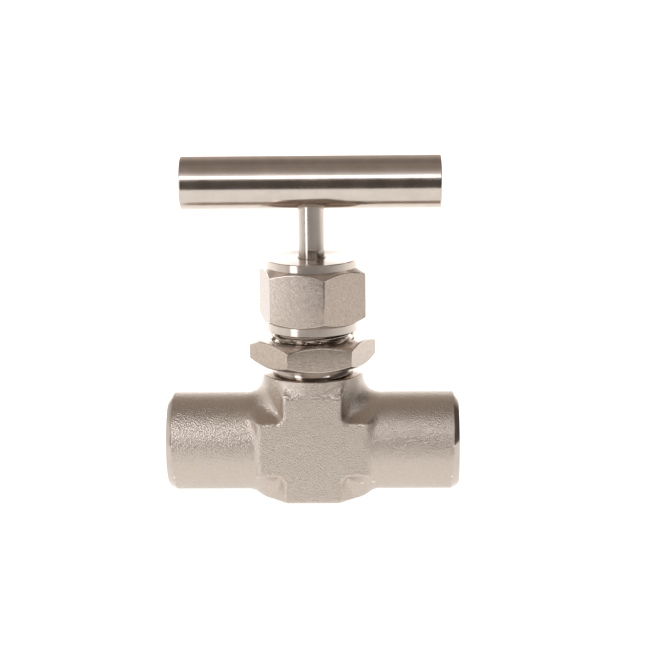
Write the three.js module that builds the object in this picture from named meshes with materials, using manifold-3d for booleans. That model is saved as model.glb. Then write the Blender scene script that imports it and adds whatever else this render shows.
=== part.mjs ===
// A straight-pattern needle valve with a forged body, female ports, a packed stem and a T-bar handle.
//
// Units are millimetres. +Z is up along the stem, +X runs along the ports and the bar, and the origin
// is the centre of the flat bottom of the body. The valve is drawn closed. Male threads are rings of
// the real pitch, and the female threads that they run in are plain bores.
import * as THREE from "three";
import { mergeVertices } from "three/addons/utils/BufferGeometryUtils.js";
import Module from "manifold-3d";

const wasm = await Module();
wasm.setup();

// ---- Driving dimensions -------------------------------------------------------------------------

const SEGMENTS = 48; // around a turned piece
const FINE_SEGMENTS = 32; // around a small turned piece
const RUNNING_GAP = 0.1; // radial room around a piece that turns or slides
const RESTING_GAP = 0.1; // between pieces that lie on each other
const PAST = 1; // how far a cutter runs past the face that it opens

const port = {
  axisZ: 11.1,
  mouthRadius: 6.9,
  boreRadius: 6.0,
  endRadius: 5.55,
  chamfer: 0.9,
  depth: 15,
};
const arm = { radius: 9.85, halfLength: 29.1, chamferLength: 1.7, chamferDepth: 0.85 };
const neck = { radius: 10.1, rimZ: 25.45, rimChamfer: 0.3, flareZ: 20.7, flareTopZ: 23.4, flareRadius: 12.7 };
const core = { bottomRadius: 8.2, chamferTopZ: 1.8, keelX: 10.3, keelY: 2.6, keelTopZ: 6 };
const pad = {
  faceY: 10.15,
  rootY: 5.5,
  draft: 0.45, // sideways growth for each millimetre of depth
  barX: 5.6,
  barTopZ: 22.3,
  bottomY: 7.1,
  bottomBevelZ: 1.3,
  wingX: 10.65,
  wingLowZ: 6.3,
  wingHighZ: 16.9,
};
const neckThread = { radius: 8.05, rootRadius: 7.25, pitch: 1.5, startZ: 26.5, topZ: 42, footRadius: 8.2 };

const seat = { orificeRadius: 2.15, faceZ: 11.8, chamberRadius: 3.4 };
const passage = { radius: 1.9, inletZ: 7.9, outletZ: 14.6, overlapX: 1.2 };
const stemBore = { radius: 4.0, lowZ: 19.5, highZ: 30.2 };
const packingBore = { radius: 5.2 };

const stem = { radius: 2.6, lowZ: 16.3, topZ: 65, edge: 0.3 };
const stemThread = { radius: 3.9, rootRadius: 3.35, pitch: 1, lowZ: 19.7, turns: 6 };
const swivel = { neckRadius: 1.3, headRadius: 1.7, headLowZ: 17.15, headTopZ: 18.05, gap: 0.15 };
const needle = { radius: 2.4, topZ: 16.15, shoulderZ: 12.4, seatRadius: 2.05, pointRadius: 0.7, pointZ: 9.4 };

const packing = { rings: 3, height: 2.2, outerRadius: 5.12, innerRadius: 2.68 };
const backingWasher = { height: 1.5, outerRadius: 5.05, innerRadius: 2.8 };
const gland = { innerRadius: 2.8, outerRadius: 5.05, flangeRadius: 6.8, flangeLowZ: 43, topZ: 44.9 };

const packingNut = {
  acrossFlats: 19.3,
  turnDeg: 44, // where the first corner stands, from +X
  lowZ: 34.15,
  hexLowZ: 35.8,
  hexTopZ: 46.9,
  topZ: 48.5,
  collarRadius: 9.1,
  ceilingZ: 45,
  boreRadius: 8.2,
  stemHoleRadius: 2.8,
};
const panelNut = { acrossFlats: 22, turnDeg: 8.5, lowZ: 27.5, topZ: 32.5, boreRadius: 8.2, faceRadius: 10.8 };
const NUT_CHAMFER = Math.tan(THREE.MathUtils.degToRad(30));

const handle = { radius: 5.3, halfLength: 25.65, axisZ: 63.6, edge: 0.3, stemHoleTopZ: 65.3 };
const setScrew = { radius: 1.95, innerY: 2.8, outerY: 4.9, socketFlats: 2, socketDepth: 1.3, pointEdge: 0.5 };

// ---- Materials ----------------------------------------------------------------------------------

function steel(color, roughness) {
  return new THREE.MeshStandardMaterial({ color, roughness, metalness: 1 });
}
const forgedSteel = steel(0xb3a79c, 0.5);
const turnedSteel = steel(0xb9b1a8, 0.28);
const brushedSteel = steel(0xa89f97, 0.25);
const darkSteel = steel(0x4a4846, 0.4);
const packingPolymer = new THREE.MeshStandardMaterial({ color: 0xece9e2, roughness: 0.6, metalness: 0 });

// ---- Shapes -------------------------------------------------------------------------------------

/** A three.js geometry as a manifold solid. */
function solid(geometry) {
  const bare = geometry.index ? geometry.toNonIndexed() : geometry.clone();
  for (const name of Object.keys(bare.attributes)) {
    if (name !== "position") bare.deleteAttribute(name);
  }
  const merged = mergeVertices(bare, 1e-4);
  const corners = Array.from(merged.index.array);
  const kept = [];
  for (let i = 0; i < corners.length; i += 3) {
    const [a, b, c] = corners.slice(i, i + 3);
    if (a !== b && b !== c && c !== a) kept.push(a, b, c);
  }
  return new wasm.Manifold(
    new wasm.Mesh({
      numProp: 3,
      vertProperties: new Float32Array(merged.attributes.position.array),
      triVerts: new Uint32Array(kept),
    }),
  );
}

/** A solid turned about +Z, from [radius, z] points that run up the outside, or clockwise round a ring. */
function turned(points, segments = SEGMENTS) {
  const profile = points.map(([r, z]) => new THREE.Vector2(r, z));
  const geometry = new THREE.LatheGeometry(profile, segments);
  return solid(geometry.rotateX(Math.PI / 2));
}

/** A plain turned cylinder between two heights. */
function rod(radius, lowZ, highZ, segments = SEGMENTS) {
  return turned([[0, lowZ], [radius, lowZ], [radius, highZ], [0, highZ]], segments);
}

/** A turned ring between two radii and two heights. */
function ring(inner, outer, lowZ, highZ, segments = SEGMENTS) {
  return turned([[inner, lowZ], [outer, lowZ], [outer, highZ], [inner, highZ], [inner, lowZ]], segments);
}

/** Turns a solid made about +Z so that its axis runs along +X, at height z. */
function alongX(shape, z) {
  return shape.rotate([0, 90, 0]).translate([0, 0, z]);
}

/** A prism of an outline of [x, y] points, from z = low to z = high. */
function prism(outline, low, high) {
  const shape = new THREE.Shape(outline.map(([x, y]) => new THREE.Vector2(x, y)));
  const geometry = new THREE.ExtrudeGeometry(shape, { depth: high - low, bevelEnabled: false });
  return solid(geometry.translate(0, 0, low));
}

/** A prism of an outline of [y, z] points, from x = -half to x = half. */
function prismAlongX(outline, half) {
  const upright = prism(outline, -half, half);
  return upright.rotate([90, 0, 90]);
}

function box(halfX, halfY, lowZ, highZ) {
  const geometry = new THREE.BoxGeometry(2 * halfX, 2 * halfY, highZ - lowZ);
  return solid(geometry.translate(0, 0, (lowZ + highZ) / 2));
}

/** The corners of a regular hexagon. */
function hexagon(acrossFlats, turnDeg = 0) {
  const radius = acrossFlats / Math.sqrt(3);
  return Array.from({ length: 6 }, (_, k) => {
    const angle = THREE.MathUtils.degToRad(turnDeg + 60 * k);
    return [radius * Math.cos(angle), radius * Math.sin(angle)];
  });
}

/** Profile points of V-shaped thread rings, from the root at startZ up to the last crest. */
function threadRings({ radius, rootRadius, pitch }, startZ, turns) {
  const points = [];
  for (let k = 0; k < turns; k++) {
    points.push([rootRadius, startZ + k * pitch]);
    points.push([radius, startZ + (k + 0.5) * pitch]);
  }
  return points;
}

/** A mesh in the scene from a manifold solid. */
function part(name, shape, material) {
  const { vertProperties, triVerts } = shape.getMesh();
  const geometry = new THREE.BufferGeometry();
  geometry.setAttribute("position", new THREE.BufferAttribute(new Float32Array(vertProperties), 3));
  geometry.setIndex(new THREE.BufferAttribute(new Uint32Array(triVerts), 1));
  geometry.computeVertexNormals();
  const mesh = new THREE.Mesh(geometry, material);
  mesh.name = name;
  return mesh;
}

// ---- Valve body ---------------------------------------------------------------------------------

/** The two port arms, one round bar through the body with machined chamfers at its ends. */
function arms() {
  const { radius, halfLength, chamferLength, chamferDepth } = arm;
  const shoulder = halfLength - chamferLength;
  const bar = turned([
    [0, -halfLength],
    [radius - chamferDepth, -halfLength],
    [radius, -shoulder],
    [radius, shoulder],
    [radius - chamferDepth, halfLength],
    [0, halfLength],
  ]);
  return alongX(bar, port.axisZ);
}

/** The upright core: a column from the flat bottom to the neck rim, with the threaded neck on top. */
function column() {
  const turns = Math.floor((neckThread.topZ - neckThread.startZ) / neckThread.pitch);
  const body = turned([
    [0, 0],
    [core.bottomRadius, 0],
    [neck.radius, core.chamferTopZ],
    [neck.radius, neck.rimZ - neck.rimChamfer],
    [neck.radius - neck.rimChamfer, neck.rimZ],
    [neckThread.footRadius, neck.rimZ],
    ...threadRings(neckThread, neckThread.startZ, turns),
    [neckThread.rootRadius, neckThread.topZ],
    [0, neckThread.topZ],
  ]);
  return body.add(box(core.keelX, core.keelY, 0, core.keelTopZ));
}

/** The flare that carries the neck into the arms, held in to the width of the neck at front and back. */
function neckFlare() {
  const steps = 6;
  const drop = neck.flareTopZ - neck.flareZ;
  const reach = neck.flareRadius - neck.radius;
  const points = [[0, port.axisZ], [neck.flareRadius, port.axisZ]];
  for (let k = 0; k <= steps; k++) {
    const angle = (Math.PI / 2) * (k / steps);
    points.push([neck.flareRadius - reach * Math.sin(angle), neck.flareTopZ - drop * Math.cos(angle)]);
  }
  points.push([0, neck.flareTopZ]);
  const oval = rod(neck.radius, port.axisZ - PAST, neck.flareTopZ + PAST).scale([1.3, 1, 1]);
  return turned(points).intersect(oval);
}

/** A cross-shaped pad on the front and the back, with drafted sides. */
function pads() {
  const grow = pad.draft * (pad.faceY - pad.rootY);
  const plan = (halfX) => [
    [-halfX, -pad.faceY],
    [halfX, -pad.faceY],
    [halfX + grow, -pad.rootY],
    [halfX + grow, pad.rootY],
    [halfX, pad.faceY],
    [-halfX, pad.faceY],
    [-halfX - grow, pad.rootY],
    [-halfX - grow, -pad.rootY],
  ];
  const barSide = [
    [-pad.bottomY, 0],
    [pad.bottomY, 0],
    [pad.faceY, pad.bottomBevelZ],
    [pad.faceY, pad.barTopZ],
    [pad.rootY, pad.barTopZ + grow],
    [-pad.rootY, pad.barTopZ + grow],
    [-pad.faceY, pad.barTopZ],
    [-pad.faceY, pad.bottomBevelZ],
  ];
  const wingSide = [
    [-pad.faceY, pad.wingLowZ],
    [-pad.rootY, pad.wingLowZ - grow],
    [pad.rootY, pad.wingLowZ - grow],
    [pad.faceY, pad.wingLowZ],
    [pad.faceY, pad.wingHighZ],
    [pad.rootY, pad.wingHighZ + grow],
    [-pad.rootY, pad.wingHighZ + grow],
    [-pad.faceY, pad.wingHighZ],
  ];
  const reach = arm.halfLength;
  const top = neck.rimZ - PAST;
  const bar = prism(plan(pad.barX), 0, top).intersect(prismAlongX(barSide, reach));
  const wings = prism(plan(pad.wingX), 0, top).intersect(prismAlongX(wingSide, reach));
  return bar.add(wings);
}

/** The tapered bore of one port, on the side that sign names. */
function portBore(sign) {
  const { mouthRadius, boreRadius, endRadius, chamfer, depth } = port;
  const face = arm.halfLength;
  const bore = turned([
    [0, face - depth],
    [endRadius, face - depth],
    [boreRadius, face - chamfer],
    [mouthRadius, face],
    [mouthRadius, face + PAST],
    [0, face + PAST],
  ]);
  return alongX(sign > 0 ? bore : bore.rotate([180, 0, 0]), port.axisZ);
}

/** The drilled way from one port to the middle, at height z. */
function passageBore(sign, z) {
  const start = -passage.overlapX;
  const end = arm.halfLength - port.depth + PAST;
  const bore = rod(passage.radius, start, end, FINE_SEGMENTS);
  return alongX(sign > 0 ? bore : bore.rotate([180, 0, 0]), z);
}

/** The stepped bore on the stem axis: orifice, chamber, stem thread and packing chamber. */
function stemAxisBore() {
  const chamber = rod(seat.chamberRadius, seat.faceZ, stemBore.lowZ + PAST, FINE_SEGMENTS);
  const orifice = rod(seat.orificeRadius, passage.inletZ, seat.faceZ + PAST, FINE_SEGMENTS);
  const thread = rod(stemBore.radius, stemBore.lowZ, stemBore.highZ + PAST);
  const stuffing = rod(packingBore.radius, stemBore.highZ, neckThread.topZ + PAST);
  return chamber.add(orifice).add(thread).add(stuffing);
}

function valveBody() {
  let shape = arms().add(column()).add(neckFlare()).add(pads());
  shape = shape.subtract(portBore(-1)).subtract(portBore(1));
  shape = shape.subtract(passageBore(-1, passage.inletZ));
  shape = shape.subtract(passageBore(1, passage.outletZ));
  return part("valve_body", shape.subtract(stemAxisBore()), forgedSteel);
}

// ---- Stem, needle and handle --------------------------------------------------------------------

/** The stem: a threaded lower end with a socket for the swivelling needle, and a plain upper shank. */
function stemPiece() {
  const { neckRadius, headRadius, headLowZ, headTopZ, gap } = swivel;
  const rings = threadRings(stemThread, stemThread.lowZ, stemThread.turns);
  const shape = turned(
    [
      [0, headTopZ + gap],
      [headRadius + gap, headTopZ + gap],
      [headRadius + gap, headLowZ - gap],
      [neckRadius + gap, headLowZ - gap],
      [neckRadius + gap, stem.lowZ],
      [stem.radius, stem.lowZ],
      [stem.radius, stemThread.lowZ],
      ...rings,
      [stem.radius, stemThread.lowZ + stemThread.turns * stemThread.pitch],
      [stem.radius, stem.topZ - stem.edge],
      [stem.radius - stem.edge, stem.topZ],
      [0, stem.topZ],
    ],
    FINE_SEGMENTS,
  );
  return part("stem", shape, turnedSteel);
}

/** The needle: a tapered point on a plug, with a headed pin that swivels in the stem. */
function needleTip() {
  const { neckRadius, headRadius, headLowZ, headTopZ } = swivel;
  const shape = turned(
    [
      [0, needle.pointZ],
      [needle.pointRadius, needle.pointZ],
      [needle.seatRadius, seat.faceZ],
      [needle.radius, needle.shoulderZ],
      [needle.radius, needle.topZ],
      [neckRadius, needle.topZ],
      [neckRadius, headLowZ],
      [headRadius, headLowZ],
      [headRadius, headTopZ],
      [0, headTopZ],
    ],
    FINE_SEGMENTS,
  );
  return part("needle_tip", shape, turnedSteel);
}

/** The T-bar: a round bar with a blind hole for the stem and a cross hole at the back for the screw. */
function handleBar() {
  const { radius, halfLength, edge, axisZ } = handle;
  const bar = turned([
    [0, -halfLength],
    [radius - edge, -halfLength],
    [radius, edge - halfLength],
    [radius, halfLength - edge],
    [radius - edge, halfLength],
    [0, halfLength],
  ]);
  const stemHole = rod(stem.radius + RUNNING_GAP, axisZ - radius - PAST, handle.stemHoleTopZ, FINE_SEGMENTS);
  const screwHole = rod(setScrew.radius + RUNNING_GAP, stem.radius - PAST, radius + PAST, FINE_SEGMENTS);
  const backHole = screwHole.rotate([-90, 0, 0]).translate([0, 0, axisZ]);
  return part("handle_bar", alongX(bar, axisZ).subtract(stemHole).subtract(backHole), brushedSteel);
}

/** The socket set screw that holds the bar on the stem, from the back. */
function handleSetScrew() {
  const { radius, innerY, outerY, socketFlats, socketDepth, pointEdge } = setScrew;
  const shank = turned(
    [
      [0, innerY],
      [radius - pointEdge, innerY],
      [radius, innerY + pointEdge],
      [radius, outerY],
      [0, outerY],
    ],
    FINE_SEGMENTS,
  );
  const socket = prism(hexagon(socketFlats), outerY - socketDepth, outerY + PAST);
  const screw = shank.subtract(socket).rotate([-90, 0, 0]).translate([0, 0, handle.axisZ]);
  return part("handle_set_screw", screw, darkSteel);
}

// ---- Packing ------------------------------------------------------------------------------------

/** The backing washer, the packing rings and the gland that presses on them, from the bottom up. */
function packingSet() {
  const pieces = [];
  let z = stemBore.highZ + RESTING_GAP;
  const { innerRadius, outerRadius, height } = backingWasher;
  pieces.push(part("backing_washer", ring(innerRadius, outerRadius, z, z + height), turnedSteel));
  z += height + RESTING_GAP;
  for (let k = 1; k <= packing.rings; k++) {
    const shape = ring(packing.innerRadius, packing.outerRadius, z, z + packing.height);
    pieces.push(part(`packing_ring_${k}`, shape, packingPolymer));
    z += packing.height + RESTING_GAP;
  }
  const follower = ring(gland.innerRadius, gland.outerRadius, z, gland.topZ);
  const flange = ring(gland.innerRadius, gland.flangeRadius, gland.flangeLowZ, gland.topZ);
  pieces.push(part("packing_gland", follower.add(flange), turnedSteel));
  return pieces;
}

// ---- Nuts ---------------------------------------------------------------------------------------

/** A hexagon between two heights with a 30 degree chamfer at each end, down to the face radius. */
function chamferedHex(acrossFlats, turnDeg, lowZ, topZ, faceRadius) {
  const cornerRadius = acrossFlats / Math.sqrt(3);
  const drop = (cornerRadius - faceRadius) * NUT_CHAMFER;
  const envelope = turned([
    [0, lowZ],
    [faceRadius, lowZ],
    [cornerRadius, lowZ + drop],
    [cornerRadius, topZ - drop],
    [faceRadius, topZ],
    [0, topZ],
  ]);
  return prism(hexagon(acrossFlats, turnDeg), lowZ, topZ).intersect(envelope);
}

/** The packing nut: a hexagon with a turned collar above and below, open below for the neck. */
function packingNutPiece() {
  const nut = packingNut;
  const hex = chamferedHex(nut.acrossFlats, nut.turnDeg, nut.hexLowZ, nut.hexTopZ, nut.collarRadius);
  const collars = rod(nut.collarRadius, nut.lowZ, nut.topZ);
  const bore = rod(nut.boreRadius, nut.lowZ - PAST, nut.ceilingZ);
  const stemHole = rod(nut.stemHoleRadius, nut.lowZ, nut.topZ + PAST, FINE_SEGMENTS);
  return part("packing_nut", hex.add(collars).subtract(bore).subtract(stemHole), turnedSteel);
}

/** The panel nut, which clamps a panel against the shoulder of the neck. */
function panelNutPiece() {
  const { acrossFlats, turnDeg, lowZ, topZ, boreRadius, faceRadius } = panelNut;
  const hex = chamferedHex(acrossFlats, turnDeg, lowZ, topZ, faceRadius);
  const bore = rod(boreRadius, lowZ - PAST, topZ + PAST);
  return part("panel_nut", hex.subtract(bore), turnedSteel);
}

// ---- The valve ----------------------------------------------------------------------------------

const valve = new THREE.Group();
valve.name = "needle_valve";
valve.add(valveBody());
valve.add(stemPiece());
valve.add(needleTip());
valve.add(...packingSet());
valve.add(packingNutPiece());
valve.add(panelNutPiece());
valve.add(handleBar());
valve.add(handleSetScrew());

export default valve;
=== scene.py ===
"""The needle valve's finished look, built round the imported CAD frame.

Shapes are worked out in millimetres and stored in metres. The forging is a distance field, so that
its fillets, drafts and pads blend as a forging's do, and everything machined is turned or cut.
"""

import math

import bmesh
import bpy
import numpy as np
import openvdb
from mathutils import Matrix, Vector


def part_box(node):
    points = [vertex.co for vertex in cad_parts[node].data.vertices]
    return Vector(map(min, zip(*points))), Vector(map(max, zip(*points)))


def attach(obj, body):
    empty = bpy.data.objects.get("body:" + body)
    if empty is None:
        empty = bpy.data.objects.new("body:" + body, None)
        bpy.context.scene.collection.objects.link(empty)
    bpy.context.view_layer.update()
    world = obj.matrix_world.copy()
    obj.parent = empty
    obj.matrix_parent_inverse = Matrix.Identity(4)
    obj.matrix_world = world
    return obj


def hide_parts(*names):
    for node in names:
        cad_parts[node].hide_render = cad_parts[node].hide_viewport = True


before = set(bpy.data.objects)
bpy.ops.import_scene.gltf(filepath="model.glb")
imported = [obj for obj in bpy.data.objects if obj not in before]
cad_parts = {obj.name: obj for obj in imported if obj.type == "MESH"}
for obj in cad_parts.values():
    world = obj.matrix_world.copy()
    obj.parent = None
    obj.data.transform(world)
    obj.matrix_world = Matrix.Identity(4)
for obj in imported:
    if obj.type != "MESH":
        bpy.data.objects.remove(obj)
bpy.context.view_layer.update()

MM = 0.001  # metres in a millimetre
TURN = 2 * math.pi
FINE = 192  # steps round a large turned piece
COARSE = 96  # steps round a small one


def millimetres(node):
    """The lowest and highest corners of a CAD node, in millimetres."""
    low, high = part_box(node)
    return np.array(low) / MM, np.array(high) / MM


# ---- Sizes, in millimetres ----------------------------------------------------------------------

BODY_LOW, BODY_HIGH = millimetres("valve_body")
NUT_LOW, NUT_HIGH = millimetres("packing_nut")
PANEL_LOW, PANEL_HIGH = millimetres("panel_nut")
BAR_LOW, BAR_HIGH = millimetres("handle_bar")
STEM_LOW, STEM_HIGH = millimetres("stem")
TIP_LOW, TIP_HIGH = millimetres("needle_tip")
SCREW_LOW, SCREW_HIGH = millimetres("handle_set_screw")
GLAND_LOW, GLAND_HIGH = millimetres("packing_gland")

PORT_Z = 11.1
SOCKET_DEPTH = 14.8
PASSAGE_RADIUS = 1.9
INLET_PASSAGE_Z = 7.9
OUTLET_PASSAGE_Z = 14.6
SEAT_Z = 11.8
ARM_RADIUS = 9.8
ARM_END = BODY_HIGH[0]
ARM_SAG = 0.1  # how far the forged arms sit below the machined port axis
END_RADIUS = 9.0  # of the flat face at the end of an arm
END_ROUNDING = 1.7  # length over which an arm is rounded off at its end
NECK_RADIUS = 10.05
NECK_RIM = 25.45
BLEND = 3.5  # how much the fillet between neck and arms grows where they meet at right angles
BLEND_LEAST = 0.25  # the fillet where they run on from each other
KEEL_HALF_DEPTH = 3.2  # of the flat strip that the body stands on
KEEL_RISE = 0.1  # how much the underside rises beyond it for each millimetre of depth
BASE_EDGE = 0.5  # radius between the underside and the sides
PAD_FACE = 10.1  # the pads' distance in front of and behind the stem axis
PAD_BAR_X = 5.6
PAD_BAR_TOP = 22.3
PAD_WING_X = 10.65
PAD_WING_LOW = 6.2
PAD_WING_HIGH = 16.9
PAD_SLOPE = 0.45  # sideways growth of a pad for each millimetre of depth
PAD_DEPTH = 4.3  # below which the walls of the pads grow no further
WING_FLARE = 0.4  # how much more the outer walls of the wings grow
TOP_FLARE = 0.7  # how much more the wall above the bar grows
FLARE_DEPTH = 2.4  # below which the flares grow no further
PAD_CORNER = 1.8  # radius in the notches of the cross
PAD_TIP = 0.3  # radius of its outer corners
PAD_EDGE = 0.5  # radius of the pads' edges
PAD_ROOT = 0.7  # radius at the foot of the pads' walls
PAD_LEAN = 0.6  # how far the pads' plane leans out above the bar for each millimetre of height

NECK_THREAD = {"crest": 8.05, "root": 7.2, "pitch": 1.5}
STEM_THREAD = {"crest": 3.9, "root": 3.3, "pitch": 1.0}
PORT_THREAD = {"crest": 6.55, "root": 5.6, "pitch": 1.411}

NUT_FLATS = 19.3
NUT_TURN = math.radians(44)  # where the first corner stands, from +X
NUT_COLLAR = 9.1
NUT_HEX_LOW = 35.8
NUT_HEX_HIGH = 46.9
PANEL_FLATS = 22.0
PANEL_TURN = math.radians(8.5)
PANEL_FACE = 10.8  # radius of the flat faces inside the chamfers
NUT_SLOPE = math.tan(math.radians(30))  # of the chamfers on both nuts
NUT_BORE = 8.2
NUT_CEILING = 45  # where the packing nut's bore ends

BAR_RADIUS = (BAR_HIGH[2] - BAR_LOW[2]) / 2
BAR_Z = (BAR_HIGH[2] + BAR_LOW[2]) / 2
STEM_RADIUS = 2.6
STEM_THREAD_LOW, STEM_THREAD_HIGH = 19.7, 25.7
STEM_CLEARANCE = 2.8  # radius of the holes that the stem passes through
PACKING_BORE = 2.68  # radius of the holes in the packing, which fits the stem closely


# ---- Mesh making --------------------------------------------------------------------------------


def new_object(name, points, faces):
    """An object from points in millimetres and lists of corner numbers, facing outwards."""
    mesh = bpy.data.meshes.new(name)
    mesh.from_pydata((np.asarray(points, float) * MM).tolist(), [], faces)
    work = bmesh.new()
    work.from_mesh(mesh)
    bmesh.ops.remove_doubles(work, verts=work.verts, dist=1e-8)
    bmesh.ops.recalc_face_normals(work, faces=work.faces)
    if work.calc_volume(signed=True) < 0:
        bmesh.ops.reverse_faces(work, faces=work.faces)
    work.to_mesh(mesh)
    work.free()
    obj = bpy.data.objects.new(name, mesh)
    bpy.context.scene.collection.objects.link(obj)
    return obj


def round_grid(rings, closed):
    """Points and faces of a surface through rings[turn, step, xyz], joined round the axis."""
    turns, steps, _ = rings.shape
    faces = []
    last = steps if closed else steps - 1
    for i in range(turns):
        here, there = i * steps, ((i + 1) % turns) * steps
        for j in range(last):
            k = (j + 1) % steps
            faces.append((here + j, there + j, there + k, here + k))
    return rings.reshape(-1, 3), faces


def turned(name, profile, steps=COARSE, closed=False, warp=None, axis="Z", centre=(0, 0, 0)):
    """A solid turned from [radius, height] points. warp(angle, radius, height) gives new radii."""
    radius, height = np.array(profile, float).T
    angle = np.arange(steps)[:, None] * TURN / steps
    radii = np.repeat(radius[None], steps, 0)
    heights = np.repeat(height[None], steps, 0)
    if warp is not None:
        radii = warp(angle, radii, heights)
    rings = np.stack([radii * np.cos(angle), radii * np.sin(angle), heights], -1)
    if axis == "X":
        rings = rings[..., [2, 0, 1]]
    points, faces = round_grid(rings, closed)
    return new_object(name, points + np.array(centre), faces)


def thread_warp(crest, root, pitch, low, high):
    """A warp that cuts a right-hand V thread between two heights, and fades it out at both ends."""
    fading = 0.8 * pitch

    def warp(angle, radius, height):
        phase = (height / pitch - angle / TURN) % 1.0
        ridge = np.clip(1.25 * (1 - np.abs(2 * phase - 1)) - 0.12, 0, 1)  # flattened crests and roots
        fade = np.clip((height - low) / fading, 0, 1) * np.clip((high - height) / fading, 0, 1)
        depth = (crest - root) * (1 - ridge) * fade
        inside = (height >= low) & (height <= high)
        return np.where(inside, radius - depth, radius)

    return warp


def softened(profile, size, steps=3):
    """An open profile with each inner corner replaced by a small curve of points."""
    points = [np.array(p, float) for p in profile]
    made = [points[0]]
    for before, corner, after in zip(points, points[1:], points[2:]):
        into, out = before - corner, after - corner
        reach = min(size, 0.4 * np.linalg.norm(into), 0.4 * np.linalg.norm(out))
        start = corner + into / np.linalg.norm(into) * reach
        end = corner + out / np.linalg.norm(out) * reach
        for k in range(steps + 1):
            t = k / steps
            made.append((1 - t) ** 2 * start + 2 * t * (1 - t) * corner + t**2 * end)
    made.append(points[-1])
    return made


def boolean(obj, operation, *tools):
    """Joins, cuts or intersects obj with other objects, which are then removed."""
    for tool in tools:
        modifier = obj.modifiers.new("boolean", "BOOLEAN")
        modifier.operation = operation
        modifier.solver = "MANIFOLD"
        modifier.object = tool
        graph = bpy.context.evaluated_depsgraph_get()
        mesh = bpy.data.meshes.new_from_object(obj.evaluated_get(graph), depsgraph=graph)
        obj.modifiers.clear()
        old = obj.data
        obj.data = mesh
        bpy.data.meshes.remove(old)
        bpy.data.objects.remove(tool)
    obj.data.materials.clear()
    return obj


def shade(obj, sharp_degrees=34, weighted=True):
    """Smooth shading, but crisp edges where the surface turns by more than the given angle."""
    mesh = obj.data
    mesh.polygons.foreach_set("use_smooth", [True] * len(mesh.polygons))
    mesh.set_sharp_from_angle(angle=math.radians(sharp_degrees))
    if weighted:
        modifier = obj.modifiers.new("even_normals", "WEIGHTED_NORMAL")
        modifier.keep_sharp = True
    return obj


# ---- Distance fields ----------------------------------------------------------------------------


def joined(a, b, radius):
    """The union of two fields with a fillet of the given radius where they meet."""
    reach_a = np.maximum(radius - a, 0)
    reach_b = np.maximum(radius - b, 0)
    return np.maximum(radius, np.minimum(a, b)) - np.hypot(reach_a, reach_b)


def common(a, b, radius):
    """The intersection of two fields with the edge rounded to the given radius."""
    return -joined(-a, -b, radius)


def rounded_box(across, up, half_across, half_up, radius):
    """The distance from a rectangle with rounded corners."""
    out_across = across - half_across + radius
    out_up = up - half_up + radius
    outside = np.hypot(np.maximum(out_across, 0), np.maximum(out_up, 0))
    return outside + np.minimum(np.maximum(out_across, out_up), 0) - radius


def forging(x, y, z):
    """The field of the unmachined body: arms, a neck, and a cross-shaped pad at front and back."""
    up = z - (PORT_Z - ARM_SAG)
    arm_reach = np.hypot(y, up)
    neck_reach = np.hypot(x, y)
    arms = arm_reach - ARM_RADIUS
    neck = neck_reach - NECK_RADIUS
    alike = y * y / np.maximum(arm_reach * neck_reach, 1e-3)  # 1 where both face the same way
    fillet = BLEND_LEAST + BLEND * np.clip(1 - alike, 0, 1) ** 1.5
    core = joined(arms, neck, fillet)

    middle, half = (PAD_WING_LOW + PAD_WING_HIGH) / 2, (PAD_WING_HIGH - PAD_WING_LOW) / 2
    deep = 20  # the bar of the cross runs out below
    depth = np.clip(PAD_FACE - np.abs(y), 0, PAD_DEPTH)
    flare = np.minimum(depth, FLARE_DEPTH)
    bar = rounded_box(np.abs(x), z - TOP_FLARE * flare + deep, PAD_BAR_X, PAD_BAR_TOP + deep, PAD_TIP)
    wings = rounded_box(np.abs(x) - WING_FLARE * flare, np.abs(z - middle), PAD_WING_X, half, PAD_TIP)
    walls = (joined(bar, wings, PAD_CORNER) - PAD_SLOPE * depth) / math.hypot(1, PAD_SLOPE)
    lean = PAD_LEAN * np.maximum(z - PAD_BAR_TOP, 0)  # clears the neck above the pads
    body = common(joined(core, walls, PAD_ROOT), np.abs(y) - PAD_FACE - lean, PAD_EDGE)

    underside = KEEL_RISE * np.maximum(np.abs(y) - KEEL_HALF_DEPTH, 0) - z
    return common(body, underside, BASE_EDGE)


def slope_of(field, points, step=0.02):
    """The gradient of a field at each point."""
    sides = [(field(*(points + step * e).T) - field(*(points - step * e).T)) for e in np.eye(3)]
    return np.stack(sides, -1) / (2 * step)


def field_object(name, field, low, high, voxel):
    """A closed mesh of a distance field's zero surface, with its points moved onto the surface."""
    low, high = np.array(low, float), np.array(high, float)
    counts = np.ceil((high - low) / voxel).astype(int) + 1
    axes = [low[k] + voxel * np.arange(counts[k]) for k in range(3)]
    values = field(*np.meshgrid(*axes, indexing="ij")).astype(np.float32)
    grid = openvdb.FloatGrid(float(values.max()))
    grid.copyFromArray(values)
    points, quads = grid.convertToQuads()
    points = low + voxel * np.asarray(points, float)
    most = 0.5 * voxel  # a point moves no further in one step
    for _ in range(3):
        here = field(*points.T)
        slope = slope_of(field, points)
        move = here[:, None] * slope / np.maximum((slope**2).sum(-1, keepdims=True), 0.05)
        points -= np.clip(move, -most, most)
    return new_object(name, points, np.asarray(quads).tolist())


# ---- The body -----------------------------------------------------------------------------------


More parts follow.
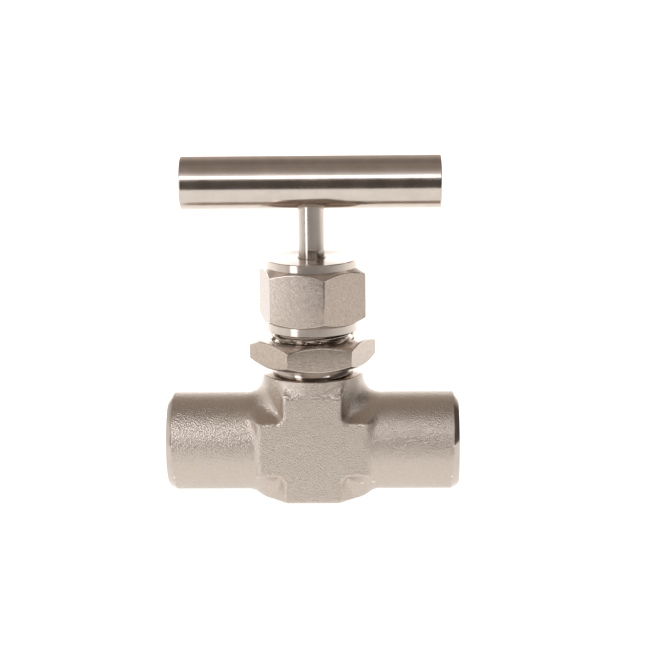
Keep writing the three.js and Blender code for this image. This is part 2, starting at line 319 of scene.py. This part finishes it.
def end_envelope():
    """What the ends of the arms are machined to: a flat face and a rounded edge at each end."""
    wide = 20.0  # clear of the neck
    arm_radius = ARM_RADIUS + ARM_SAG
    half = [(wide, ARM_END - 12), (arm_radius + 0.4, ARM_END - END_ROUNDING - 0.5)]
    for along in np.linspace(0, 1, 9):
        radius = arm_radius - (arm_radius - END_RADIUS) * along**1.6  # steeper towards the end
        half.append((radius, ARM_END - END_ROUNDING * (1 - along)))
    half.append((0, ARM_END))
    profile = [(r, -x) for r, x in reversed(half)] + half
    return turned("end_envelope", profile, FINE, axis="X", centre=(0, 0, PORT_Z))


def rim_envelope():
    """What the top of the neck is faced to, above which only the threaded neck stands."""
    wide = 40.0  # clear of the arms
    profile = [(0, -5), (wide, -5), (wide, 20), (NECK_RADIUS + 0.35, NECK_RIM - 0.4)]
    profile += [(NECK_RADIUS - 0.2, NECK_RIM), (0, NECK_RIM)]
    return turned("rim_envelope", profile, FINE)


def threaded_neck():
    """The neck above the rim: an undercut, a tapered foot, the thread and a chamfered top."""
    top = BODY_HIGH[2]
    crest, root = NECK_THREAD["crest"], NECK_THREAD["root"]
    buried = 20  # a height inside the forging
    foot, low = NECK_RIM + 0.4, NECK_RIM + 1.6  # where the foot and the thread begin
    heights = np.arange(low, top - 0.9, NECK_THREAD["pitch"] / 16)
    profile = [(0, buried), (root, buried), (root, foot - 0.1), (crest, foot), (crest - 0.45, low)]
    profile += [(crest, h) for h in heights]
    profile += [(crest - 0.1, top - 0.7), (crest - 0.8, top), (0, top)]
    warp = thread_warp(**NECK_THREAD, low=low, high=float(heights[-1]) + 0.4)
    return turned("threaded_neck", profile, FINE, warp=warp)


def port_cutter(sign):
    """The threaded socket in one arm, with a chamfered mouth and the drill's cone at the bottom."""
    mouth, crest, root = 6.95, PORT_THREAD["crest"], PORT_THREAD["root"]
    bottom = ARM_END - SOCKET_DEPTH
    low, high = bottom + 2.2, ARM_END - 0.6
    heights = np.arange(low, high, PORT_THREAD["pitch"] / 14)
    drill = root - 0.25
    taper = 32  # a pipe thread narrows by 1 in 16 on its diameter
    profile = [(0, bottom - 1.2), (2.2, bottom - 0.8), (drill, bottom), (drill, low - 0.3)]
    profile += [(crest - (high - h) / taper, h) for h in heights]
    profile += [(mouth - 0.45, high), (mouth, ARM_END), (mouth, ARM_END + 1), (0, ARM_END + 1)]
    warp = thread_warp(**PORT_THREAD, low=low, high=high)
    cutter = turned("port_cutter", profile, FINE, warp=warp, axis="X")
    spin = Matrix.Identity(4) if sign > 0 else Matrix.Rotation(math.pi, 4, "Z")
    cutter.data.transform(Matrix.Translation((0, 0, PORT_Z * MM)) @ spin)
    return cutter


def passage_cutters():
    """The drilled ways from the sockets, and the stepped bore on the stem axis."""
    outer = ARM_END - 13  # inside a socket
    way = PASSAGE_RADIUS
    inlet_profile = [(0, -outer), (way, -outer), (way, 1.2), (0, 1.7)]
    outlet_profile = [(0, -1.7), (way, -1.2), (way, outer), (0, outer)]
    inlet = turned("inlet", inlet_profile, axis="X", centre=(0, 0, INLET_PASSAGE_Z))
    outlet = turned("outlet", outlet_profile, axis="X", centre=(0, 0, OUTLET_PASSAGE_Z))

    orifice, chamber, thread_bore, packing_bore = 2.15, 3.4, 4, 5.2
    chamber_top, packing_low, packing_top, past_top = 19.5, 30.2, 41.6, 44
    steps = [(0, INLET_PASSAGE_Z - 0.5), (orifice, INLET_PASSAGE_Z), (orifice, SEAT_Z)]
    steps += [(chamber, SEAT_Z), (chamber, chamber_top), (thread_bore, chamber_top)]
    steps += [(thread_bore, packing_low), (packing_bore, packing_low), (packing_bore, packing_top)]
    steps += [(packing_bore + 0.6, packing_top + 0.6), (packing_bore + 0.6, past_top), (0, past_top)]
    return inlet, outlet, turned("stem_bore", steps)


def valve_body():
    """The body in one closed mesh: forged skin in slot 0, ends and sockets in 1, the rest in 2."""
    margin, half_depth = 1.0, 10.8
    low = (-ARM_END - margin, -half_depth, -margin)
    high = (ARM_END + margin, half_depth, NECK_RIM + 2 * margin)

    def blank(x, y, z):
        """The forging, cut a little outside its machined ends and rim."""
        ends = np.abs(x) - ARM_END - 0.5
        return common(common(forging(x, y, z), ends, 0.2), z - NECK_RIM - 0.8, 0.2)

    voxel = 0.25
    body = field_object("valve_body_fine", blank, low, high, voxel)
    boolean(body, "INTERSECT", end_envelope(), rim_envelope())
    boolean(body, "UNION", threaded_neck())
    boolean(body, "DIFFERENCE", port_cutter(1), port_cutter(-1), *passage_cutters())
    mesh = body.data
    middles = centres(mesh)
    forged = np.abs(forging(*middles.T)) < 0.04
    socket_bottom = 14  # distance from the stem axis
    machined = np.where(np.abs(middles[:, 0]) > socket_bottom, 1, 2)
    mesh.polygons.foreach_set("material_index", np.where(forged, 0, machined).astype(np.int32))
    shade(body, 30, weighted=False)
    follow_field(mesh, forged)
    return body


def centres(mesh):
    """The centre of each face, in millimetres."""
    values = np.zeros(len(mesh.polygons) * 3)
    mesh.polygons.foreach_get("center", values)
    return values.reshape(-1, 3) / MM


def follow_field(mesh, forged):
    """Gives the forged faces the exact normals of the distance field, and the others their own."""
    corners = len(mesh.loops)
    points = np.zeros(len(mesh.vertices) * 3)
    mesh.vertices.foreach_get("co", points)
    exact = slope_of(forging, points.reshape(-1, 3) / MM)
    exact /= np.maximum(np.linalg.norm(exact, axis=-1, keepdims=True), 1e-6)
    normals = np.zeros(corners * 3)
    mesh.corner_normals.foreach_get("vector", normals)
    normals = normals.reshape(-1, 3)
    vertex = np.zeros(corners, np.int32)
    mesh.loops.foreach_get("vertex_index", vertex)
    sizes = np.zeros(len(mesh.polygons), np.int32)
    mesh.polygons.foreach_get("loop_total", sizes)
    on_forging = np.repeat(forged, sizes)
    agree = (exact[vertex] * normals).sum(-1) > 0.5  # not where the corner belongs to a cut
    chosen = on_forging & agree
    normals[chosen] = exact[vertex][chosen]
    mesh.normals_split_custom_set(normals.tolist())


# ---- Nuts ---------------------------------------------------------------------------------------


def hexagon_angles(flats, turn, corner=0.22):
    """Angles round a hexagon with rounded corners, closest at the corners, and the radii there."""
    half = flats / 2
    inset = half - corner
    flat_end = math.atan2(inset * math.tan(math.pi / 6), half)
    centre = inset / math.cos(math.pi / 6)
    flat_points, corner_points = 22, 8
    angles, radii = [], []
    for face in range(6):
        middle = turn + math.pi / 6 + face * math.pi / 3
        for off in np.linspace(-flat_end, flat_end, flat_points):
            angles.append(middle + off)
            radii.append(half / math.cos(off))
        for off in np.linspace(flat_end, math.pi / 3 - flat_end, corner_points)[1:-1]:
            side = off - math.pi / 6
            aside = centre * math.sin(side)
            angles.append(middle + off)
            radii.append(centre * math.cos(side) + math.sqrt(max(corner**2 - aside**2, 0)))
    return np.array(angles), np.array(radii)


def nut(name, flats, turn, face_radius, hex_low, hex_high, below, above):
    """A chamfered hexagon, with the rest of its closed profile given as points below and above it.

    The turned surfaces are in slot 0 and the flats of the hexagon in slot 1."""
    angles, radii = hexagon_angles(flats, turn)
    edge = 0.13  # size of the softened edges between the flats and the chamfers
    rings = []
    for angle, radius in zip(angles, radii):
        drop = (radius - face_radius) * NUT_SLOPE
        low, high = hex_low + drop, hex_high - drop
        inner, outer, bevel = radius - edge, radius - 0.25 * edge, edge * NUT_SLOPE
        profile = [*below, (face_radius, hex_low)]
        profile += [(inner, low - bevel), (outer, low + 0.1 * edge), (radius, low + edge)]
        profile += [(radius, (low + high) / 2)]
        profile += [(radius, high - edge), (outer, high - 0.1 * edge), (inner, high + bevel)]
        profile += [(face_radius, hex_high), *above]
        rings.append([(r * math.cos(angle), r * math.sin(angle), z) for r, z in profile])
    points, faces = round_grid(np.array(rings), closed=True)
    made = new_object(name, points, faces)
    middles = centres(made.data)
    flat = np.hypot(middles[:, 0], middles[:, 1]) > face_radius + 0.04
    inside = (middles[:, 2] > hex_low + 0.05) & (middles[:, 2] < hex_high - 0.05)
    upright = np.array([abs(face.normal.z) < 0.1 for face in made.data.polygons])
    made.data.polygons.foreach_set("material_index", (flat & inside & upright).astype(np.int32))
    return shade(made)


def packing_nut():
    """The upper nut, with a turned collar below and above its hexagon."""
    low, high = NUT_LOW[2], NUT_HIGH[2]
    edge = 0.16
    hexagon = (NUT_FLATS, NUT_TURN, NUT_COLLAR, NUT_HEX_LOW, NUT_HEX_HIGH)
    below = [(NUT_BORE, NUT_CEILING), (NUT_BORE, low + 0.5), (NUT_BORE + 0.4, low)]
    below += [(NUT_COLLAR - edge, low), (NUT_COLLAR, low + edge), (NUT_COLLAR, NUT_HEX_LOW - 0.05)]
    top_collar = NUT_COLLAR - 0.04
    above = [(top_collar, NUT_HEX_HIGH + 0.05), (top_collar, high - edge), (NUT_COLLAR - edge, high)]
    above += [(STEM_CLEARANCE + 0.3, high), (STEM_CLEARANCE, high - 0.3)]
    above += [(STEM_CLEARANCE, NUT_CEILING)]
    return nut("packing_nut_fine", *hexagon, below, above)


def panel_nut():
    """The lower, wider nut, which is a plain hexagon."""
    low, high = PANEL_LOW[2], PANEL_HIGH[2]
    below = [(NUT_BORE, high - 0.5), (NUT_BORE, low + 0.5), (NUT_BORE + 0.5, low)]
    above = [(NUT_BORE + 0.5, high)]
    return nut("panel_nut_fine", PANEL_FLATS, PANEL_TURN, PANEL_FACE, low, high, below, above)


# ---- Stem, needle, bar and screw ----------------------------------------------------------------


def stem():
    """The shank and its thread, with the cavity at its foot that the needle's head swivels in."""
    low, top = STEM_LOW[2], STEM_HIGH[2]
    edge, top_edge = 0.15, 0.3
    neck, cavity, cavity_low, cavity_top = 1.45, 1.85, 17, 18.2
    heights = np.arange(STEM_THREAD_LOW, STEM_THREAD_HIGH, STEM_THREAD["pitch"] / 12)
    profile = [(0, cavity_top), (cavity, cavity_top), (cavity, cavity_low), (neck, cavity_low)]
    profile += [(neck, low), (STEM_RADIUS - edge, low), (STEM_RADIUS, low + edge)]
    profile += [(STEM_RADIUS, STEM_THREAD_LOW - 0.05)]
    profile += [(STEM_THREAD["crest"], h) for h in heights]
    profile += [(STEM_RADIUS, STEM_THREAD_HIGH + 0.05), (STEM_RADIUS, top - top_edge)]
    profile += [(STEM_RADIUS - top_edge, top), (0, top)]
    warp = thread_warp(**STEM_THREAD, low=STEM_THREAD_LOW, high=STEM_THREAD_HIGH)
    return shade(turned("stem_fine", profile, COARSE, warp=warp))


def needle_tip():
    """The tapered needle on the seat, with the neck and head that the stem holds it by."""
    low, high = TIP_LOW[2], TIP_HIGH[2]
    point, on_seat, body, neck, head = 0.7, 2.05, 2.4, 1.3, 1.7
    shoulder, body_top, head_low = 12.4, 16.15, 17.15
    profile = [(0, low), (point, low), (on_seat, SEAT_Z), (body, shoulder), (body, body_top)]
    profile += [(neck, body_top), (neck, head_low), (head, head_low), (head, high), (0, high)]
    return shade(turned("needle_tip_fine", softened(profile, 0.12)))


def turn_to_back(obj):
    """Moves a piece made round the Z axis to the middle of the bar, pointing to the back."""
    obj.data.transform(Matrix.Translation((0, 0, BAR_Z * MM)) @ Matrix.Rotation(-math.pi / 2, 4, "X"))


def handle_bar():
    """The round T-bar, with a blind hole for the stem and a countersunk hole for the set screw."""
    half, edge = BAR_HIGH[0], 0.34
    outline = [(0, -half), (BAR_RADIUS, -half), (BAR_RADIUS, half), (0, half)]
    profile = softened(outline, edge, steps=4)
    bar = turned("handle_bar_fine", profile, FINE, axis="X", centre=(0, 0, BAR_Z))
    bore, bore_top, below = STEM_RADIUS + 0.1, 65.3, 50
    stem_hole = turned("stem_hole", [(0, below), (bore, below), (bore, bore_top), (0, bore_top)])
    tapped, sink, sink_low, sink_high, outside = 2.05, 2.35, 5.0, 5.4, 7
    hole = [(0, 1), (tapped, 1), (tapped, sink_low), (sink, sink_high), (sink, outside), (0, outside)]
    screw_hole = turned("screw_hole", hole)
    turn_to_back(screw_hole)
    return shade(boolean(bar, "DIFFERENCE", stem_hole, screw_hole))


def set_screw():
    """The set screw at the back of the bar, with a chamfered point and a hexagon socket."""
    inner, outer = SCREW_LOW[1], SCREW_HIGH[1]
    radius, point = 1.95, 1.45
    profile = [(0, inner), (point, inner), (radius, inner + 0.5)]
    profile += [(radius, outer - 0.2), (radius - 0.2, outer), (0, outer)]
    screw = turned("set_screw_fine", profile)
    socket_flats, socket_depth = 2.0, 1.3
    corner = socket_flats / math.sqrt(3)
    bottom, outside = outer - socket_depth, outer + 1
    socket = turned("socket", [(0, bottom), (corner, bottom), (corner, outside), (0, outside)], 6)
    boolean(screw, "DIFFERENCE", socket)
    turn_to_back(screw)
    return shade(screw)


# ---- Packing ------------------------------------------------------------------------------------


def packing_ring(node):
    """A ring in a CAD ring's place, with its edges eased."""
    (_, _, low), (outer, _, high) = millimetres(node)
    inner = STEM_CLEARANCE if node == "backing_washer" else PACKING_BORE
    edge = 0.15
    profile = [(inner, low + edge), (inner + edge, low), (outer - edge, low), (outer, low + edge)]
    profile += [(outer, high - edge), (outer - edge, high), (inner + edge, high), (inner, high - edge)]
    return shade(turned(node + "_fine", profile, closed=True))


def packing_gland():
    """The follower that presses on the packing, with a flange under the packing nut's ceiling."""
    low, high = GLAND_LOW[2], GLAND_HIGH[2]
    inner, outer, flange, flange_low = STEM_CLEARANCE, 5.05, 6.8, 43
    edge = 0.2
    profile = [(inner, low + edge), (inner + edge, low), (outer - edge, low), (outer, low + edge)]
    profile += [(outer, flange_low), (flange - edge, flange_low), (flange, flange_low + edge)]
    profile += [(flange, high - edge), (flange - edge, high), (inner + edge, high), (inner, high - edge)]
    return shade(turned("packing_gland_fine", profile, closed=True))


# ---- Materials ----------------------------------------------------------------------------------


class Nodes:
    """A material's node tree, with short calls for the nodes that the materials share."""

    def __init__(self, name):
        self.material = bpy.data.materials.new(name)
        self.material.use_nodes = True
        self.tree = self.material.node_tree
        self.shader = self.tree.nodes["Principled BSDF"]
        self.place = self.add("ShaderNodeTexCoord").outputs["Object"]

    def add(self, kind, **values):
        node = self.tree.nodes.new(kind)
        for key, value in values.items():
            setattr(node, key, value)
        return node

    def link(self, source, target):
        self.tree.links.new(source, target)

    def in_millimetres(self, stretch=(1, 1, 1)):
        """The place on the surface in millimetres. A pattern is drawn out where stretch is small."""
        mapping = self.add("ShaderNodeMapping")
        mapping.inputs["Scale"].default_value = [s / MM for s in stretch]
        self.link(self.place, mapping.inputs["Vector"])
        return mapping.outputs["Vector"]

    def noise(self, scale, stretch=(1, 1, 1), detail=2.0, roughness=0.5):
        """Noise of so many features in a millimetre."""
        node = self.add("ShaderNodeTexNoise")
        node.inputs["Scale"].default_value = scale
        node.inputs["Detail"].default_value = detail
        node.inputs["Roughness"].default_value = roughness
        self.link(self.in_millimetres(stretch), node.inputs["Vector"])
        return node.outputs["Fac"]

    def dimples(self, scale):
        """Round hollows side by side, so many in a millimetre."""
        cells = self.add("ShaderNodeTexVoronoi", feature="F1")
        cells.inputs["Scale"].default_value = scale
        self.link(self.in_millimetres(), cells.inputs["Vector"])
        square = self.add("ShaderNodeMath", operation="MULTIPLY")
        self.link(cells.outputs["Distance"], square.inputs[0])
        self.link(cells.outputs["Distance"], square.inputs[1])
        return square.outputs[0]

    def ramp(self, source, low, high, from_low=0.3, from_high=0.7):
        """source from one range of numbers mapped to another, and held at its ends."""
        node = self.add("ShaderNodeMapRange")
        node.inputs["From Min"].default_value = from_low
        node.inputs["From Max"].default_value = from_high
        node.inputs["To Min"].default_value = low
        node.inputs["To Max"].default_value = high
        self.link(source, node.inputs["Value"])
        return node.outputs["Result"]

    def colours(self, source, stops):
        """source through a colour ramp of (place, colour) stops."""
        node = self.add("ShaderNodeValToRGB")
        ramp = node.color_ramp
        while len(ramp.elements) < len(stops):
            ramp.elements.new(0.5)
        for element, (place, colour) in zip(ramp.elements, stops):
            element.position = place
            element.color = (*colour, 1)
        self.link(source, node.inputs["Fac"])
        return node.outputs["Color"]

    def bump(self, height, distance, strength=1.0, under=None):
        """A surface raised by height times a distance in millimetres, on top of another bump."""
        node = self.add("ShaderNodeBump")
        node.inputs["Strength"].default_value = strength
        node.inputs["Distance"].default_value = distance * MM
        self.link(height, node.inputs["Height"])
        if under is not None:
            self.link(under, node.inputs["Normal"])
        return node.outputs["Normal"]

    def less_below(self, source, height, factor):
        """A colour or a number, multiplied by a factor below a height in millimetres."""
        blur = 0.2
        parts = self.add("ShaderNodeSeparateXYZ")
        self.link(self.place, parts.inputs[0])
        share = self.ramp(parts.outputs["Z"], factor, 1.0, (height - blur) * MM, (height + blur) * MM)
        return self.scaled(source, share)

    def times_on_edges(self, source, factor):
        """A colour or a number, multiplied by a factor on convex edges."""
        bend = self.add("ShaderNodeNewGeometry").outputs["Pointiness"]
        return self.scaled(source, self.ramp(bend, 1.0, factor, 0.52, 0.6))

    def scaled(self, source, share):
        """A colour or a number multiplied by another number."""
        node = self.add("ShaderNodeVectorMath", operation="SCALE")
        self.link(source, node.inputs[0])
        self.link(share, node.inputs["Scale"])
        return node.outputs[0]

    def finish(self, colour, roughness, normal, metallic=1.0):
        """Links what was built to the shader and gives the material."""
        self.shader.inputs["Metallic"].default_value = metallic
        self.link(colour, self.shader.inputs["Base Color"])
        self.link(roughness, self.shader.inputs["Roughness"])
        self.link(normal, self.shader.inputs["Normal"])
        return self.material


STEEL = (0.60, 0.525, 0.465)
FORGED_STEEL = (0.60, 0.52, 0.45)
MILLED_STEEL = (0.60, 0.50, 0.42)
WORN_BAND = 50.3  # height in millimetres up to which the stem is worn dark


def tinted(colour, factor):
    """A colour made lighter or darker by a factor."""
    return tuple(min(c * factor, 1) for c in colour)


def steel_range(darkest, lightest, steel=STEEL):
    """Colour ramp stops from a darker to a lighter steel."""
    return [(0.3, tinted(steel, darkest)), (0.7, tinted(steel, lightest))]


def forged_steel():
    """Blasted skin of the forging: shot dimples, a few pocks, faint waves, and worn edges with a painted
    highlight.
    """
    n = Nodes("forged_steel")
    grain = n.noise(4.0, detail=1.5, roughness=0.6)
    dimples = n.dimples(3.7)
    pocks = n.ramp(n.noise(1.6, detail=0.0), 0.0, -1.0, 0.7, 0.76)
    waves = n.noise(0.3, detail=1.0)
    mottle = n.noise(2.2, detail=3.0, roughness=0.7)
    # lighter colour on convex edges: partly edge wear, partly a painted highlight where the edges catch
    # the light
    colour = n.times_on_edges(n.colours(mottle, steel_range(0.9, 1.03, FORGED_STEEL)), 1.5)
    roughness = n.times_on_edges(n.ramp(mottle, 0.29, 0.37), 0.8)
    normal = n.bump(waves, 0.05, 0.5)
    normal = n.bump(pocks, 0.02, 0.5, under=normal)
    normal = n.bump(grain, 0.055, 1.0, under=normal)
    normal = n.bump(dimples, 0.066, 1.0, under=normal)
    return n.finish(colour, roughness, normal)


def turned_steel(name, along, roughness=(0.2, 0.24), spread=0.9, factor=1.0, worn=False):
    """Machined steel with fine rings round the axis numbered along. spread draws its glints out.

    Worn steel is darker and smoother up to the worn band, where the packing has rubbed it."""
    n = Nodes(name)
    n.shader.inputs["Anisotropic"].default_value = spread
    n.shader.inputs["Anisotropic Rotation"].default_value = 0.25
    tangent = n.add("ShaderNodeTangent", direction_type="RADIAL", axis="XYZ"[along])
    n.link(tangent.outputs["Tangent"], n.shader.inputs["Tangent"])
    stretch = [0.15, 0.15, 0.15]
    stretch[along] = 9.0
    rings = n.noise(1.0, stretch, detail=3.0, roughness=0.6)
    smudges = n.noise(0.3, detail=3.0)
    colour = n.colours(smudges, steel_range(0.94 * factor, 1.05 * factor))
    rough = n.ramp(smudges, *roughness)
    if worn:
        colour = n.less_below(colour, WORN_BAND, 0.75)
        rough = n.less_below(rough, WORN_BAND, 0.5)
    return n.finish(colour, rough, n.bump(rings, 0.003, 0.6))


def nut_steel():
    """The flats of the nuts: bright hexagon bar, mottled, with level scuffs and scratches."""
    n = Nodes("nut_steel")
    mottle = n.noise(2.4, detail=4.0, roughness=0.75)
    scuffs = n.noise(1.2, (0.6, 0.6, 2.0), detail=3.0, roughness=0.7)
    scratches = n.ramp(n.noise(1.6, (0.25, 0.25, 5.0), detail=1.0), 0.0, -1.0, 0.66, 0.72)
    colour = n.colours(mottle, steel_range(0.62, 0.9, MILLED_STEEL))
    normal = n.bump(mottle, 0.02, 0.6)
    normal = n.bump(scratches, 0.006, 0.6, under=normal)
    return n.finish(colour, n.ramp(scuffs, 0.18, 0.26), normal)


def packing_polymer():
    """White fluoropolymer: waxy and slightly cloudy."""
    n = Nodes("packing_polymer")
    clouds = n.noise(0.6, detail=3.0)
    colour = n.colours(clouds, [(0.3, (0.80, 0.79, 0.75)), (0.7, (0.88, 0.87, 0.84))])
    return n.finish(colour, n.ramp(clouds, 0.5, 0.65), n.bump(clouds, 0.01, 0.4), metallic=0.0)


# ---- Assembly -----------------------------------------------------------------------------------


def place(piece, body, node, slot, *materials):
    """Makes piece stand for a CAD node, on its body, with its materials."""
    for material in materials:
        piece.data.materials.append(material)
    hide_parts(node)
    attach(piece, body)


def build_valve():
    """Makes every piece with its materials and puts it on its body."""
    forged = forged_steel()
    flats = nut_steel()
    turned_pieces = turned_steel("turned_steel", along=2)
    port_steel = turned_steel("port_steel", along=0, roughness=(0.1, 0.15), spread=0.0)
    thread_steel = turned_steel("thread_steel", along=2, roughness=(0.12, 0.18), spread=0.0, factor=0.85)
    stem_steel = turned_steel("stem_steel", along=2, roughness=(0.26, 0.32), worn=True)
    bar_steel = turned_steel("bar_steel", along=0, roughness=(0.15, 0.19), spread=0.0, factor=1.09)
    screw_steel = turned_steel("screw_steel", along=1, roughness=(0.3, 0.4), factor=0.5)
    polymer = packing_polymer()

    place(valve_body(), "body", "valve_body", "forged_steel", forged, port_steel, thread_steel)
    place(packing_nut(), "packing_nut", "packing_nut", "turned_steel", turned_pieces, flats)
    place(panel_nut(), "panel_nut", "panel_nut", "turned_steel", turned_pieces, flats)
    place(stem(), "stem", "stem", "turned_steel", stem_steel)
    place(needle_tip(), "needle", "needle_tip", "turned_steel", turned_pieces)
    place(handle_bar(), "stem", "handle_bar", "bar_steel", bar_steel)
    place(set_screw(), "stem", "handle_set_screw", "screw_steel", screw_steel)
    place(packing_ring("backing_washer"), "body", "backing_washer", "turned_steel", turned_pieces)
    for k in (1, 2, 3):
        node = f"packing_ring_{k}"
        place(packing_ring(node), "body", node, "packing_polymer", polymer)
    place(packing_gland(), "gland", "packing_gland", "turned_steel", turned_pieces)


# ---- Floor, light and camera --------------------------------------------------------------------


def floor():
    """A table that glows white, more at the back than in front, and ends not far in front."""
    size, front = 8.0, -0.155
    corners = [(-size, front, 0), (size, front, 0), (size, size, 0), (-size, size, 0)]
    mesh = bpy.data.meshes.new("floor")
    mesh.from_pydata(corners, [], [(0, 1, 2, 3)])
    obj = bpy.data.objects.new("floor", mesh)
    bpy.context.scene.collection.objects.link(obj)
    n = Nodes("floor")
    parts = n.add("ShaderNodeSeparateXYZ")
    n.link(n.place, parts.inputs[0])
    glow = n.ramp(parts.outputs["Y"], 0.88, 1.35, -0.03, 0.12)
    n.link(glow, n.shader.inputs["Emission Strength"])
    n.shader.inputs["Base Color"].default_value = (0.3, 0.3, 0.3, 1)
    n.shader.inputs["Roughness"].default_value = 1.0
    n.shader.inputs["Specular IOR Level"].default_value = 0.0
    n.shader.inputs["Emission Color"].default_value = (1, 1, 1, 1)
    obj.data.materials.append(n.material)


BRIGHTEST = 2.0  # the light that a colour of 1 stands for in the studio
LAMP_COLOUR = (0.95, 0.99, 1.06)  # a little cooler than the room

# The room's light on each side, as (degrees above the horizon, brightness) stops
FRONT_LIGHT = [(-60, 0.09), (15, 0.09), (26, 0.45), (38, 0.9), (44, 0.6), (55, 0.38), (72, 0.3)]
LEFT_LIGHT = [(-20, 1.0), (20, 0.95), (45, 0.4), (70, 0.25)]
RIGHT_LIGHT = [(-20, 0.2), (0, 0.1), (50, 0.12), (70, 0.25)]
BACK_LIGHT = [(0, 2.0), (15, 2.0), (21, 1.0), (28, 0.55), (48, 0.5), (62, 0.3), (75, 0.25)]


class World:
    """The studio's light by direction, built from small node functions."""

    def __init__(self):
        world = bpy.data.worlds.new("studio")
        bpy.context.scene.world = world
        world.use_nodes = True
        self.tree = world.node_tree
        self.tree.nodes.clear()

    def add(self, kind, **values):
        node = self.tree.nodes.new(kind)
        for key, value in values.items():
            setattr(node, key, value)
        return node

    def put(self, socket, value):
        """Links value to a socket, or sets it there when it is a number or a colour."""
        if isinstance(value, bpy.types.NodeSocket):
            self.tree.links.new(value, socket)
        else:
            socket.default_value = value

    def math(self, operation, *values):
        node = self.add("ShaderNodeMath", operation=operation)
        for socket, value in zip(node.inputs, values):
            self.put(socket, value)
        return node.outputs[0]

    def smooth(self, value, low, high):
        """0 up to one angle in degrees, 1 past another, and a soft step between them."""
        node = self.add("ShaderNodeMapRange", interpolation_type="SMOOTHSTEP")
        self.put(node.inputs["Value"], value)
        node.inputs["From Min"].default_value = math.radians(low)
        node.inputs["From Max"].default_value = math.radians(high)
        return node.outputs["Result"]

    def by_height(self, elevation, stops):
        """Light through (degrees above the horizon, brightness) stops, warmer where it is dim.

        elevation runs from 0 straight down to 1 straight up."""
        node = self.add("ShaderNodeValToRGB")
        elements = node.color_ramp.elements
        while len(elements) < len(stops):
            elements.new(0.5)
        for element, (degrees, light) in zip(elements, stops):
            grey = light / BRIGHTEST
            warmth = 0.13 if light < 0.6 else 0.02
            element.position = degrees / 180 + 0.5
            element.color = (grey, grey * (1 - warmth), grey * (1 - 1.6 * warmth), 1)
        self.put(node.inputs["Fac"], elevation)
        return node.outputs["Color"]

    def mix(self, factor, a, b):
        """Colour a where factor is 0 and colour b where it is 1."""
        node = self.add("ShaderNodeMix", data_type="RGBA")
        sockets = (node.inputs["Factor"], node.inputs[6], node.inputs[7])
        for socket, value in zip(sockets, (factor, a, b)):
            self.put(socket, value)
        return node.outputs[2]


def studio():
    """The room's light, which goes by height in a different way on each of its four sides.

    The camera sees plain white instead."""
    w = World()
    parts = w.add("ShaderNodeSeparateXYZ")
    w.put(parts.inputs[0], w.add("ShaderNodeTexCoord").outputs["Generated"])
    x, y, z = parts.outputs
    elevation = w.math("ADD", w.math("DIVIDE", w.math("ARCSINE", z), math.pi), 0.5)
    azimuth = w.math("ARCTAN2", x, w.math("MULTIPLY", y, -1.0))  # 0 in front, more to the right

    front = w.by_height(elevation, FRONT_LIGHT)
    left = w.by_height(elevation, LEFT_LIGHT)
    right = w.by_height(elevation, RIGHT_LIGHT)
    back = w.by_height(elevation, BACK_LIGHT)

    colour = w.mix(w.smooth(azimuth, 50, 75), front, right)
    colour = w.mix(w.smooth(azimuth, -50, -75), colour, left)
    colour = w.mix(w.smooth(w.math("ABSOLUTE", azimuth), 115, 145), colour, back)
    seen_by_camera = w.add("ShaderNodeLightPath").outputs["Is Camera Ray"]
    colour = w.mix(seen_by_camera, colour, (0.6, 0.6, 0.6, 1))
    background = w.add("ShaderNodeBackground")
    background.inputs["Strength"].default_value = BRIGHTEST
    w.put(background.inputs["Color"], colour)
    w.put(w.add("ShaderNodeOutputWorld").inputs["Surface"], background.outputs[0])


def soft_light(name, azimuth, distance, low, high, width, brightness):
    """An upright light facing the stem, so many metres away and wide, between two heights.

    azimuth is in degrees, 0 in front and more to the right. The camera doesn't see the light."""
    data = bpy.data.lights.new(name, "AREA")
    data.shape = "RECTANGLE"
    data.size, data.size_y = width, high - low
    data.energy = math.pi * data.size * data.size_y * brightness
    data.color = LAMP_COLOUR
    obj = bpy.data.objects.new(name, data)
    bpy.context.scene.collection.objects.link(obj)
    angle = math.radians(azimuth)
    towards = Vector((math.sin(angle), -math.cos(angle), 0))
    middle = towards * distance + Vector((0, 0, (low + high) / 2))
    turn = towards.to_track_quat("Z", "Y").to_matrix().to_4x4()
    obj.matrix_world = Matrix.Translation(middle) @ turn
    obj.visible_camera = False


def camera():
    """The photographer's place: a little to the right and about twelve degrees up."""
    azimuth, elevation, roll = math.radians(1.5), math.radians(12.3), math.radians(-0.65)
    distance = 0.36
    target = Vector((2.5, 0, 34.8)) * MM
    width_seen = 130 * MM  # at the target
    level = math.cos(elevation)
    back = Vector((math.sin(azimuth) * level, -math.cos(azimuth) * level, math.sin(elevation)))
    data = bpy.data.cameras.new("camera")
    data.sensor_width = 36
    data.lens = data.sensor_width * distance / width_seen
    data.clip_start, data.clip_end = 0.01, 50
    obj = bpy.data.objects.new("camera", data)
    bpy.context.scene.collection.objects.link(obj)
    turn = (-back).to_track_quat("-Z", "Y").to_matrix().to_4x4()
    obj.matrix_world = Matrix.Translation(target + back * distance) @ turn @ Matrix.Rotation(roll, 4, "Z")
    bpy.context.scene.camera = obj


build_valve()
floor()
studio()
soft_light("side_lamp", azimuth=-43.5, distance=0.16, low=0.003, high=0.153, width=0.048, brightness=2.8)
soft_light("strip_lamp", azimuth=0, distance=0.22, low=0.155, high=0.211, width=0.54, brightness=2.5)
camera()
bpy.context.scene.view_settings.view_transform = "Standard"
